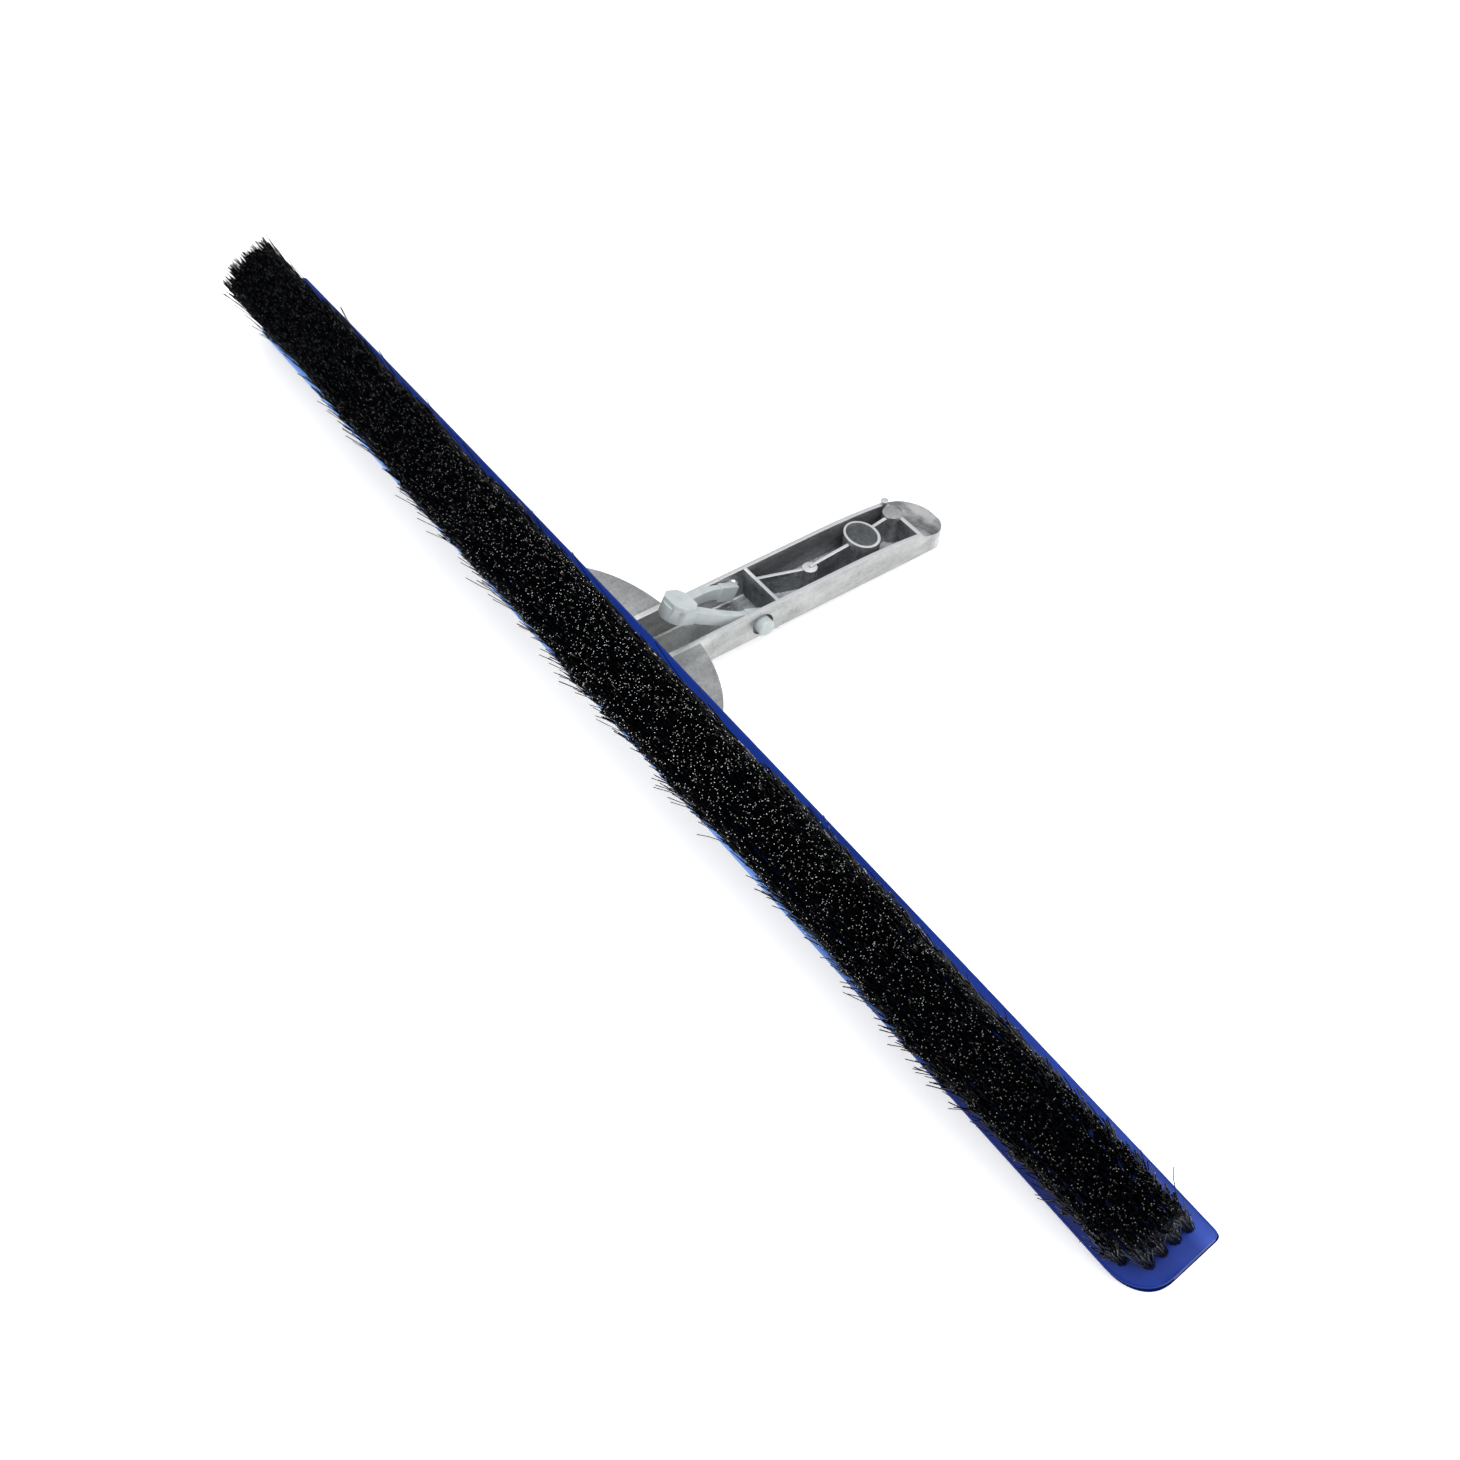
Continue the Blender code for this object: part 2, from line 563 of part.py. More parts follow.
def lay_on_back(brush, block, body):
    """Turn the brush about X until its block and its handle touch the ground together."""
    block_points, body_points = world_points(block), world_points(body)
    low, high = 0.0, math.radians(60)
    for _ in range(40):
        angle = (low + high) / 2
        turn = Matrix.Rotation(angle, 3, 'X')
        block_low = min((turn @ point).z for point in block_points)
        body_low = min((turn @ point).z for point in body_points)
        if body_low < block_low:
            low = angle
        else:
            high = angle
    every = [turn @ point for obj in PARTS.objects if obj.type == 'MESH' for point in world_points(obj)]
    middle = (min(p.y for p in every) + max(p.y for p in every)) / 2
    place(brush, None, (0, -middle, -min(block_low, body_low)), (angle, 0, 0))


def build():
    brush = new_frame("brush_frame")
    handle = new_frame("handle_frame", brush, (0, BLOCK_WIDTH / 2, FLANGE_TOP),
                       (-math.radians(HANDLE_TILT), 0, 0))
    clip = new_frame("clip_axis", handle, (0, BUTTON_AT, -BUTTON_DEPTH), (-math.radians(CLIP_TILT), 0, 0))
    bpy.context.view_layer.update()
    block = make_block(brush)
    for row in range(ROW_COUNT):
        make_bristle_row(row, brush)
        for side in (-1, 1):
            make_end_tuft(row, side, brush)
    body = make_handle(brush, handle)
    for number, (x, y) in enumerate(SCREW_PLACES, 1):
        make_screw(number, x, y, brush)
    make_nose(clip)
    for side in (-1, 1):
        make_arm(side, clip)
    bpy.context.view_layer.update()
    lay_on_back(brush, block, body)
    bpy.context.view_layer.update()


build()
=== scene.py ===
import json
import math

import bmesh
import bpy
from mathutils import Matrix, Vector


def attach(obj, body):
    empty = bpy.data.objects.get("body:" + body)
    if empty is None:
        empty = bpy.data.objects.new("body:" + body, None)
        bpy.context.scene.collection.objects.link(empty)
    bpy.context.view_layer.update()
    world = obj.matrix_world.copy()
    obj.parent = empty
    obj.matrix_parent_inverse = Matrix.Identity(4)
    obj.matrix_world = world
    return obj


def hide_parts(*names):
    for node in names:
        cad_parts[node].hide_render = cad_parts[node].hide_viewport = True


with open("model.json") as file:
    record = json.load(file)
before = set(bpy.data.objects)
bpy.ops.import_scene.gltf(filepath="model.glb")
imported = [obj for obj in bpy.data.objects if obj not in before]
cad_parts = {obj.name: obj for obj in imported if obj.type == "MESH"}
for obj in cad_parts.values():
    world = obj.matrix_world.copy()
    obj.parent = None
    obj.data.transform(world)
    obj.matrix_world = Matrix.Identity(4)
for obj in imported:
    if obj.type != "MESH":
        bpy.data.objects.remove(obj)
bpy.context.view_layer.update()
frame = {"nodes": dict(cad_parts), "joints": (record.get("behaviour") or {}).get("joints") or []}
joints = {joint["name"]: joint for joint in frame["joints"]}
print("frame loaded:", len(frame["nodes"]), "nodes")


# where the brush, its handle and its clip stand, worked out from the clip's joints

layout = {
    "clipTilt": 24.0,          # clip against handle, degrees
    "handleTilt": 25.9,        # handle against block
    "buttonAlong": 0.045,      # from the block's edge to the clip's buttons
    "buttonDepth": 0.0076,     # below the channel's rims
    "blockWidth": 0.0335,
    "flangeDrop": 0.0091,      # bristle face to the top of the flange
}


def standAt(origin, tilt):
    return Matrix.Translation(origin) @ Matrix.Rotation(math.radians(tilt), 4, 'X')


clipUp = -Vector(joints["left_arm_squeeze"]["axis"])
clipAngle = math.degrees(math.atan2(-clipUp.y, clipUp.z))
clipStand = standAt(joints["clip_swing"]["pos_m"], clipAngle)
handleAngle = clipAngle + layout["clipTilt"]
handleStand = standAt((0, 0, 0), handleAngle)
handleOrigin = clipStand.translation - handleStand @ Vector((0, layout["buttonAlong"], -layout["buttonDepth"]))
handleStand = standAt(handleOrigin, handleAngle)
brushAngle = handleAngle + layout["handleTilt"]
brushStand = standAt((0, 0, 0), brushAngle)
brushOrigin = handleOrigin - brushStand @ Vector((0, layout["blockWidth"] / 2, -layout["flangeDrop"]))
brushStand = standAt(brushOrigin, brushAngle)


# meshes

def finishPiece(name, mesh, material, body, replaced, smoothAngle=35):
    obj = bpy.data.objects.new(name, mesh)
    bpy.context.scene.collection.objects.link(obj)
    mesh.materials.clear()
    mesh.materials.append(material)
    mesh.shade_smooth()
    mesh.set_sharp_from_angle(angle=math.radians(smoothAngle))
    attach(obj, body)
    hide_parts(*replaced)


def toMesh(name, bm):
    bmesh.ops.recalc_face_normals(bm, faces=bm.faces)
    mesh = bpy.data.meshes.new(name)
    bm.to_mesh(mesh)
    bm.free()
    return mesh


def evaluatedMesh(obj):
    # the object's mesh with its modifiers applied, and the object gone
    graph = bpy.context.evaluated_depsgraph_get()
    mesh = bpy.data.meshes.new_from_object(obj.evaluated_get(graph))
    bpy.data.objects.remove(obj)
    return mesh


def skin(name, rings):
    bm = bmesh.new()
    rows = [[bm.verts.new(point) for point in ring] for ring in rings]
    for one, two in zip(rows, rows[1:]):
        for i in range(len(one)):
            bm.faces.new((one[i - 1], one[i], two[i], two[i - 1]))
    bm.faces.new(rows[0])
    bm.faces.new(rows[-1])
    return toMesh(name, bm)


def arcPoints(centre, radius, start, end, steps):
    angles = [math.radians(start + (end - start) * i / steps) for i in range(steps + 1)]
    return [(centre[0] + radius * math.cos(a), centre[1] + radius * math.sin(a)) for a in angles]


def roundedCopy(name, nodeName, width, segments=2, angle=30):
    # a merged copy of a part's own mesh with its edges rounded
    bm = bmesh.new()
    bm.from_mesh(frame["nodes"][nodeName].data)
    bmesh.ops.remove_doubles(bm, verts=bm.verts, dist=2e-6)
    bmesh.ops.dissolve_limit(bm, angle_limit=math.radians(0.6), verts=bm.verts, edges=bm.edges)
    mesh = toMesh(name, bm)
    guide = bpy.data.objects.new(name, mesh)
    bpy.context.scene.collection.objects.link(guide)
    bevel = guide.modifiers.new("edges", 'BEVEL')
    bevel.width = width
    bevel.segments = segments
    bevel.limit_method = 'ANGLE'
    bevel.angle_limit = math.radians(angle)
    bevel.use_clamp_overlap = True
    return evaluatedMesh(guide)


# shader building

class Wire:  # a socket that can be used in sums
    def __init__(self, sheet, socket):
        self.sheet = sheet
        self.socket = socket

    def math(self, operation, *values):
        return self.sheet.node("ShaderNodeMath", {"operation": operation}, dict(enumerate(values)))

    def __add__(self, other):
        return self.math('ADD', self, other)

    def __rsub__(self, other):
        return self.math('SUBTRACT', other, self)

    def __mul__(self, other):
        return self.math('MULTIPLY', self, other)


class Sheet:  # one material and its nodes
    def __init__(self, name):
        self.material = bpy.data.materials.new(name)
        self.material.use_nodes = True
        self.tree = self.material.node_tree
        self.shader = self.tree.nodes["Principled BSDF"]

    def node(self, kind, settings=None, sockets=None, out=0):
        made = self.tree.nodes.new(kind)
        for key, value in (settings or {}).items():
            setattr(made, key, value)
        for key, value in (sockets or {}).items():
            self.feed(made.inputs[key], value)
        return Wire(self, made.outputs[out])

    def feed(self, socket, value):
        if isinstance(value, Wire):
            self.tree.links.new(value.socket, socket)
        else:
            socket.default_value = value

    def objectPlace(self, scale=(1, 1, 1), location=(0, 0, 0), rotation=(0, 0, 0)):
        place = self.node("ShaderNodeTexCoord", out="Object")
        return self.node("ShaderNodeMapping", {}, {"Vector": place, "Scale": scale, "Location": location,
                                                   "Rotation": rotation})

    def noise(self, scale, detail=3.0, roughness=0.5, place=None):
        return self.node("ShaderNodeTexNoise", {}, {"Vector": place or self.objectPlace(), "Scale": scale,
                                                    "Detail": detail, "Roughness": roughness})

    def mixColour(self, share, one, two):
        return self.node("ShaderNodeMix", {"data_type": 'RGBA'}, {0: share, 6: one, 7: two}, out=2)

    def spread(self, value, low, high, newLow=0.0, newHigh=1.0):
        return self.node("ShaderNodeMapRange", {}, {"Value": value, "From Min": low, "From Max": high,
                                                    "To Min": newLow, "To Max": newHigh})

    def attribute(self, name):
        return self.node("ShaderNodeAttribute", {"attribute_name": name}, out="Fac")

    def bump(self, height, strength, distance, normal=None):
        sockets = {"Height": height, "Strength": strength, "Distance": distance}
        if normal:
            sockets["Normal"] = normal
        return self.node("ShaderNodeBump", {}, sockets)

    def shade(self, **values):
        for key, value in values.items():
            self.feed(self.shader.inputs[key.replace("_", " ")], value)
        return self.material

    def mattWhere(self, share, **values):
        # a second shader takes over where share is 1
        first = self.shader
        second = self.tree.nodes.new("ShaderNodeBsdfPrincipled")
        self.shader = second
        self.shade(**values)
        mixed = self.node("ShaderNodeMixShader", {}, {0: share, 1: Wire(self, first.outputs[0]),
                                                      2: Wire(self, second.outputs[0])})
        self.feed(self.tree.nodes["Material Output"].inputs["Surface"], mixed)
        return self.material


def mouldedBlue():
    sheet = Sheet("moulded_blue")
    turned = brushStand.inverted()
    place = sheet.objectPlace(location=turned.translation, rotation=turned.to_euler())
    x, y = (sheet.node("ShaderNodeSeparateXYZ", {}, {"Vector": place}, out=axis) for axis in "XY")
    cloudy = sheet.noise(14.0, 4.0, 0.6)
    flow = sheet.noise(60.0, 3.0, 0.55, sheet.objectPlace(scale=(0.18, 1, 1)))
    fine = sheet.noise(2600.0, 2.0)
    share = sheet.spread(cloudy * 0.55 + flow * 0.45, 0.36, 0.64)
    body = sheet.mixColour(share, (0.0015, 0.013, 0.13, 1), (0.004, 0.028, 0.23, 1))
    # both long edges get a painted highlight in part: the low one from -X past the middle, the high one near +X
    lowEdgeHighlight = sheet.spread(y, -0.0118, -0.0150) * sheet.spread(x, 0.21, 0.12)
    highEdgeHighlight = sheet.spread(y, 0.0085, 0.0135) * sheet.spread(x, 0.20, 0.27)
    body = sheet.mixColour(lowEdgeHighlight * sheet.spread(flow, 0.3, 0.6, 0.55, 1.0), body, (0.20, 0.42, 1.0, 1))
    body = sheet.mixColour(highEdgeHighlight * sheet.spread(flow, 0.35, 0.6, 0.15, 0.6), body, (0.045, 0.11, 0.55, 1))
    # painted shade: the block's sides below the face are darkened and made matt, by the "edge" attribute
    edgeShade = sheet.attribute("edge")
    colour = sheet.mixColour(edgeShade, body, (0.0012, 0.006, 0.07, 1))
    rough = sheet.spread(flow, 0.3, 0.7, 0.24, 0.36)
    soft = sheet.bump(fine, 0.10, 0.0001, sheet.bump(flow, 0.12, 0.0006))
    sheet.shade(Base_Color=colour, Roughness=rough, Normal=soft, Specular_IOR_Level=0.12)
    return sheet.mattWhere(edgeShade, Base_Color=colour, Roughness=0.6, Specular_IOR_Level=0.0)


def bristleNylon():
    sheet = Sheet("bristle_nylon")
    # painted highlights: near-white cut tips ("glint"), and light dashes along the sides of some filaments ("shade")
    glint = sheet.attribute("glint")
    highlightBreaks = sheet.spread(sheet.noise(330.0, 2.0, 0.6), 0.47, 0.58)
    shade = sheet.attribute("shade") * highlightBreaks
    side = sheet.mixColour(shade, (0.0020, 0.0024, 0.0036, 1), (0.62, 0.62, 0.58, 1))
    colour = sheet.mixColour(glint, side, (0.92, 0.92, 0.88, 1))
    rough = sheet.spread(glint, 0, 1, 0.42, 0.6)
    return sheet.shade(Base_Color=colour, Roughness=rough, Specular_IOR_Level=0.03)


castingPlacesTonesAndPaintedLight = {
    # places in the handle's own frame
    "channelHalf": 0.0134, "channelEnd": 0.1275, "channelFloor": -0.0153,
    "ring": (-0.0007, 0.106, 0), "ringSquash": 0.78, "ringWell": 0.0057,
    "disc": (-0.0043, 0.1251, 0), "discRadius": 0.0042,
    "metalDark": (0.33, 0.335, 0.335, 1), "metalLight": (0.58, 0.585, 0.58, 1),
    # painted light and shade: the wall and channel colours are shade, the slope's partly shade, the well and crest
    # colours are light
    "wallShadeDark": (0.16, 0.162, 0.158, 1), "wallShadeLight": (0.34, 0.345, 0.335, 1),
    "channelShadeDark": (0.12, 0.13, 0.142, 1), "channelShadeLight": (0.42, 0.43, 0.445, 1),
    "slopeMottleShadeDark": (0.10, 0.104, 0.11, 1), "slopeMottleShadeLight": (0.46, 0.465, 0.47, 1),
    "wellLightColour": (0.80, 0.81, 0.82, 1), "crestHighlightColour": (0.88, 0.88, 0.88, 1),
}


def castAluminium():
    sheet = Sheet("cast_aluminium_with_painted_light")
    turned = handleStand.inverted()
    place = sheet.objectPlace(location=turned.translation, rotation=turned.to_euler())
    x, y, z = (sheet.node("ShaderNodeSeparateXYZ", {}, {"Vector": place}, out=axis) for axis in "XYZ")
    across = x.math('ABSOLUTE', x)
    floor, end = castingPlacesTonesAndPaintedLight["channelFloor"], castingPlacesTonesAndPaintedLight["channelEnd"]
    side = castingPlacesTonesAndPaintedLight["channelHalf"]
    within = sheet.spread(across, 0.0118, 0.0106) * sheet.spread(z, floor, floor + 0.0005)
    within = within * sheet.spread(y, end, end - 0.0010)
    # painted shade: inside the channel, darker below its rims, fading out towards the block
    channelShade = within * sheet.spread(z, -0.0008, -0.0042) * sheet.spread(y, 0.020, 0.055)
    flatPlace = sheet.node("ShaderNodeCombineXYZ", {}, {"X": x * castingPlacesTonesAndPaintedLight["ringSquash"], "Y": y})
    fromRing = sheet.node("ShaderNodeVectorMath", {"operation": 'DISTANCE'},
                          {0: flatPlace, 1: castingPlacesTonesAndPaintedLight["ring"]}, out="Value")
    # painted light: the ring's well is brightened
    wellLight = sheet.spread(fromRing, castingPlacesTonesAndPaintedLight["ringWell"] + 0.0003, castingPlacesTonesAndPaintedLight["ringWell"])
    facing = sheet.node("ShaderNodeVectorMath", {"operation": 'DOT_PRODUCT'},
                        {0: sheet.node("ShaderNodeNewGeometry", out="Normal"), 1: handleStand.col[2].xyz},
                        out="Value")
    inChannel = sheet.spread(across, side + 0.0002, side) * sheet.spread(y, end + 0.0015, end)
    inChannel = inChannel * sheet.spread(y, 0.0, 0.001)
    fromDisc = sheet.node("ShaderNodeVectorMath", {"operation": 'DISTANCE'},
                          {0: sheet.node("ShaderNodeCombineXYZ", {}, {"X": x, "Y": y}),
                           1: castingPlacesTonesAndPaintedLight["disc"]}, out="Value")
    disc = sheet.spread(fromDisc, castingPlacesTonesAndPaintedLight["discRadius"], castingPlacesTonesAndPaintedLight["discRadius"] - 0.0002)
    inChannel = inChannel * (1 - disc * 0.8)
    # painted highlight on the up-facing rims and rib tops inside the channel
    crestHighlight = sheet.spread(facing, 0.55, 0.8) * sheet.spread(z, -0.0128, -0.0118) * inChannel
    cloudy = sheet.noise(70.0, 5.0, 0.62)
    drawn = sheet.noise(220.0, 4.0, 0.6, sheet.objectPlace(scale=(1, 0.14, 1)))
    grain = sheet.noise(900.0, 4.0, 0.6)
    pits = sheet.node("ShaderNodeTexVoronoi", {}, {"Vector": sheet.objectPlace(), "Scale": 1100.0})
    share = sheet.spread(cloudy * 0.35 + drawn * 0.35 + grain * 0.3, 0.38, 0.62)
    outside = sheet.mixColour(share, castingPlacesTonesAndPaintedLight["metalDark"], castingPlacesTonesAndPaintedLight["metalLight"])
    # painted shade on the outer walls' sides, darker towards the bottom
    shadedWalls = sheet.spread(across, 0.0124, 0.0129) * sheet.spread(facing, 0.75, 0.6) * sheet.spread(y, 0.014, 0.020)
    shadow = sheet.spread(z, -0.001, -0.015, 0.25, 0.75)
    shaded = sheet.mixColour(share, castingPlacesTonesAndPaintedLight["wallShadeDark"], castingPlacesTonesAndPaintedLight["wallShadeLight"])
    outside = sheet.mixColour(shadedWalls * shadow, outside, shaded)
    channelShadeColour = sheet.mixColour(share, castingPlacesTonesAndPaintedLight["channelShadeDark"], castingPlacesTonesAndPaintedLight["channelShadeLight"])
    # the up-facing tip slope: mottled, and painted darker as shade
    slopeMottleAndShade = sheet.mixColour(sheet.spread(cloudy, 0.42, 0.6), castingPlacesTonesAndPaintedLight["slopeMottleShadeDark"], castingPlacesTonesAndPaintedLight["slopeMottleShadeLight"])
    slope = sheet.spread(y, 0.128, 0.1295) * sheet.spread(facing, 0.3, 0.6)
    plain = sheet.mixColour(slope * 0.85, sheet.mixColour(channelShade, outside, channelShadeColour), slopeMottleAndShade)
    plain = sheet.mixColour(wellLight * 0.8, plain, castingPlacesTonesAndPaintedLight["wellLightColour"])
    colour = sheet.mixColour(crestHighlight * 0.85, plain, castingPlacesTonesAndPaintedLight["crestHighlightColour"])
    rough = sheet.spread(grain, 0.3, 0.7, 0.34, 0.5) + channelShade * 0.08
    low = sheet.bump(cloudy * 0.5 + drawn * 0.5, 0.35, 0.0006)
    skinBump = sheet.bump(grain * 0.7 + pits * 0.3, 0.4, 0.00025, low)
    return sheet.shade(Base_Color=colour, Metallic=1.0, Roughness=rough, Normal=skinBump)


def milkyPlastic():
    sheet = Sheet("milky_plastic")
    cloudy = sheet.noise(160.0, 3.0)
    fine = sheet.noise(1800.0, 2.0)
    colour = sheet.mixColour(sheet.spread(cloudy, 0.35, 0.65), (0.36, 0.395, 0.40, 1), (0.42, 0.455, 0.455, 1))
    rough = sheet.spread(cloudy, 0.3, 0.7, 0.34, 0.44)
    return sheet.shade(Base_Color=colour, Roughness=rough, Normal=sheet.bump(fine, 0.08, 0.0001),
                       Subsurface_Weight=0.35, Subsurface_Radius=(0.9, 1.0, 1.0), Subsurface_Scale=0.0015)


def screwSteel():
    sheet = Sheet("screw_steel_finish")
    grain = sheet.noise(1500.0, 3.0)
    cloudy = sheet.noise(220.0, 3.0)
    colour = sheet.mixColour(cloudy, (0.42, 0.41, 0.40, 1), (0.62, 0.61, 0.59, 1))
    rough = sheet.spread(grain, 0.3, 0.7, 0.22, 0.4)
    return sheet.shade(Base_Color=colour, Metallic=1.0, Roughness=rough, Normal=sheet.bump(grain, 0.12, 0.0001))


def paleFloor():
    sheet = Sheet("pale_floor")
    cloudy = sheet.noise(1.5, 2.0)
    colour = sheet.mixColour(cloudy, (0.86, 0.86, 0.86, 1), (0.90, 0.90, 0.90, 1))
    return sheet.shade(Base_Color=colour, Roughness=0.9, Specular_IOR_Level=0.1, Emission_Color=colour,
                       Emission_Strength=0.42)


finishes = {"blue": mouldedBlue(), "nylon": bristleNylon(), "casting": castAluminium(),
            "milky": milkyPlastic(), "steel": screwSteel(), "floor": paleFloor()}
print("materials made:", len(finishes))


# the bowed block

block = {
    "length": 0.610, "width": layout["blockWidth"], "thickness": 0.009, "bow": 0.019,
    "sweepAlong": 0.016, "sweepAcross": 0.0134,   # big rounded corners away from the handle
    "corner": 0.0022, "edgeRound": 0.0012, "endRound": 0.005,
    "seatHalf": 0.062, "seatLift": 0.0002,        # flat seat for the handle behind
    "stations": 56, "edgeSteps": 5,
    "edgeShadeGain": 1.3, "edgeShadeStart": 0.3,              # how the painted shade fades in below the face
}
half = block["length"] / 2


def faceHeight(x):
    return -block["bow"] * (x / half) ** 2


def roundInto(x, start, reach, depth):
    # how far a rounded corner has cut in at x
    into = max(0.0, (abs(x) - start) / reach)
    return depth * (1 - math.sqrt(max(0.0, 1 - into ** 2)))


def blockRing(x):
    low = -block["width"] / 2 + roundInto(x, half - block["sweepAlong"], block["sweepAlong"], block["sweepAcross"])
    high = block["width"] / 2 - roundInto(x, half - block["corner"], block["corner"], block["corner"])
    top = faceHeight(x)
    bottom = top - block["thickness"] + roundInto(x, half - block["endRound"], block["endRound"], block["endRound"])
    if abs(x) < block["seatHalf"]:
        bottom = max(bottom, -block["thickness"] + block["seatLift"])
    r, steps = block["edgeRound"], block["edgeSteps"]
    return [brushStand @ Vector((x, y, z)) for y, z in
            arcPoints((high - r, top - r), r, 0, 90, steps) + arcPoints((low + r, top - r), r, 90, 180, steps)
            + arcPoints((low + r, bottom + r), r, 180, 270, steps)
            + arcPoints((high - r, bottom + r), r, 270, 360, steps)]


def blockStations():
    straight = half - block["sweepAlong"]
    right = [straight * i / block["stations"] for i in range(block["stations"])]
    right += [straight + block["sweepAlong"] * math.sin(math.radians(a)) for a in range(0, 78, 6)]
    edge = half - block["corner"]
    right += [edge + block["corner"] * math.sin(math.radians(a)) for a in range(0, 91, 15)]
    right = sorted(set(round(x, 7) for x in right))
    return [-x for x in reversed(right[1:])] + right


def makeBlock():
    mesh = skin("wall_brush_block", [blockRing(x) for x in blockStations()])
    back = brushStand.inverted()
    # the "edge" attribute is painted shade on the block's sides
    edgeShades = []
    for vertex in mesh.vertices:
        x, y, z = back @ vertex.co
        below = (faceHeight(x) - z) / block["edgeRound"]
        edgeShades.append(min(1.0, max(0.0, below * block["edgeShadeGain"] - block["edgeShadeStart"])))
    mesh.attributes.new("edge", 'FLOAT', 'POINT').data.foreach_set("value", edgeShades)
    finishPiece("wall_brush_block", mesh, finishes["blue"], "brush", ["brush_block"], 40)


makeBlock()
print("block made")


# bristles: tufts along each row, filaments in each tuft, one tree for all rows

bristles = {
    "rows": 5, "rowPitch": 0.0056, "tuftPitch": 0.0061,
    "endInset": 0.0077, "sweptInset": 0.0140,    # block's end to the last tuft, and in the row by the swept corners
    "length": 0.0368, "rootDepth": 0.0015, "filaments": 68, "filamentRadius": 0.00017,
    "rootRadius": 0.0019, "tipAlong": 0.0033, "tipAcross": 0.0031, "sideTipAcross": 0.0024,
    "rowSpread": -0.04, "outerRowLean": -0.0013, "sideLean": 0.0017, "endLean": 0.0025,
    "clumpLean": 0.0013, "clumpScale": 21.0,
    "lengthJitter": 0.0009, "leanJitter": 0.0015,
    "strayShare": 0.012, "sideStrayShare": 0.08, "strayLean": 0.0042,
    "crimp": 0.00045, "crimpTurns": 2.6, "segments": 4, "glintShare": 0.18, "glintThicker": 0.3,
    "glintMiddle": 0.05, "glintWidth": 0.14,     # the cut tips catch the light most around here
    "raggedPower": 28.0, "raggedGain": 1.5,      # tufts near both ends are looser
    "endLeanPower": 6.0, "bendPower": 1.35, "sagGain": 14.0,
    # painted highlights on the sides of some filaments: how rare, and how much more at the ends and on the outer
    # rows' outer sides
    "strandHighlightPower": 18.0, "strandHighlightEverywhere": 0.08, "strandHighlightEndPower": 14.0, "strandHighlightEnd": 0.6,
    "strandHighlightSide": 110.0, "strandHighlightSideMore": 40.0,     # per metre of row offset, and how much more on +Y
}
goldenAngle = math.radians(137.508)


class Fields:  # builds one geometry tree
    def __init__(self, name, inputs):
        self.tree = bpy.data.node_groups.new(name, 'GeometryNodeTree')
        for label, kind in inputs:
            self.tree.interface.new_socket(label, in_out='INPUT', socket_type=kind)
        self.tree.interface.new_socket("Mesh", in_out='OUTPUT', socket_type='NodeSocketGeometry')
        self.start = self.tree.nodes.new("NodeGroupInput")
        self.end = self.tree.nodes.new("NodeGroupOutput")

    def input(self, label):
        return self.start.outputs[label]

    def node(self, kind, settings=None, sockets=None, out=0):
        made = self.tree.nodes.new(kind)
        for key, value in (settings or {}).items():
            setattr(made, key, value)
        for key, value in (sockets or {}).items():
            if isinstance(value, bpy.types.NodeSocket):
                self.tree.links.new(value, made.inputs[key])
            else:
                made.inputs[key].default_value = value
        return made.outputs[out]

    def math(self, operation, *values):
        return self.node("ShaderNodeMath", {"operation": operation}, dict(enumerate(values)))

    def vector(self, operation, *values):
        return self.node("ShaderNodeVectorMath", {"operation": operation}, dict(enumerate(values)))

    def scaled(self, vector, factor):
        return self.node("ShaderNodeVectorMath", {"operation": 'SCALE'}, {0: vector, "Scale": factor})

    def combine(self, x, y, z):
        return self.node("ShaderNodeCombineXYZ", {}, {0: x, 1: y, 2: z})

    def random(self, low, high, seed):
        return self.node("FunctionNodeRandomValue", {"data_type": 'FLOAT'},
                         {2: low, 3: high, "Seed": seed}, out=1)

    def store(self, geometry, name, kind, domain, value):
        return self.node("GeometryNodeStoreNamedAttribute", {"data_type": kind, "domain": domain},
                         {"Geometry": geometry, "Name": name, "Value": value})

    def named(self, name, kind='FLOAT'):
        return self.node("GeometryNodeInputNamedAttribute", {"data_type": kind}, {"Name": name})


